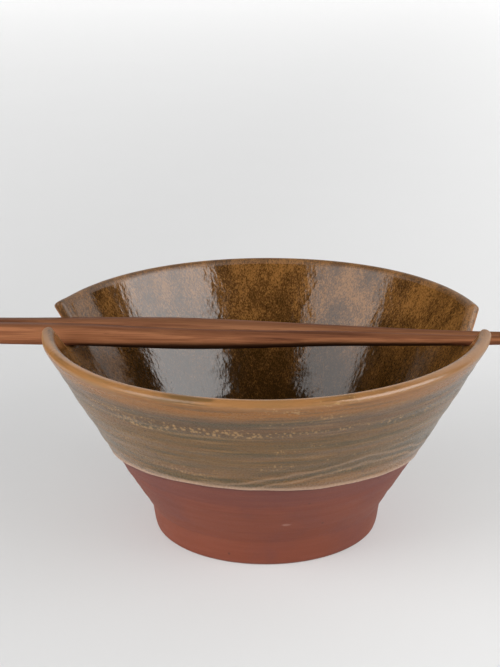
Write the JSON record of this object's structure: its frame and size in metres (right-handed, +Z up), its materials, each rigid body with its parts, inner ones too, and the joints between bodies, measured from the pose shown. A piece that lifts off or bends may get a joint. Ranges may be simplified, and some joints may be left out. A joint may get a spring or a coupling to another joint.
{
  "type": "rice bowl with chopsticks",
  "caption": "Round thrown stoneware rice bowl on a foot ring, glazed brown, with notches in the rim holding a pair of square-handled wooden chopsticks level across the mouth",
  "frame": {"origin": "centre of the circle on which the foot ring stands, in the plane of the table", "axes": "+Z up along the bowl's axis; +X along the pair of chopsticks toward their tips; +Y to the rear, from the front chopstick toward the rear one"},
  "size_m": [0.225, 0.1516, 0.073],
  "materials": {
    "clay": "matte fired clay",
    "glaze_inside": "glossy amber",
    "glaze_outside": "satin olive brown",
    "wood_front": "satin",
    "wood_rear": "satin"
  },
  "bodies": {
    "bowl": {"bowl_body": "clay", "glaze_inside": "glaze_inside", "glaze_outside": "glaze_outside"},
    "chopstick_front": {"chopstick_front": "wood_front"},
    "chopstick_rear": {"chopstick_rear": "wood_rear"}
  },
  "joints": [
    {"name": "chopstick_front_lift", "type": "slide", "parent": "bowl", "child": "chopstick_front", "axis": [0, 0, 1], "range_m": [0, 0.06]},
    {"name": "chopstick_rear_lift", "type": "slide", "parent": "bowl", "child": "chopstick_rear", "axis": [0, 0, 1], "range_m": [0, 0.06]}
  ]
}
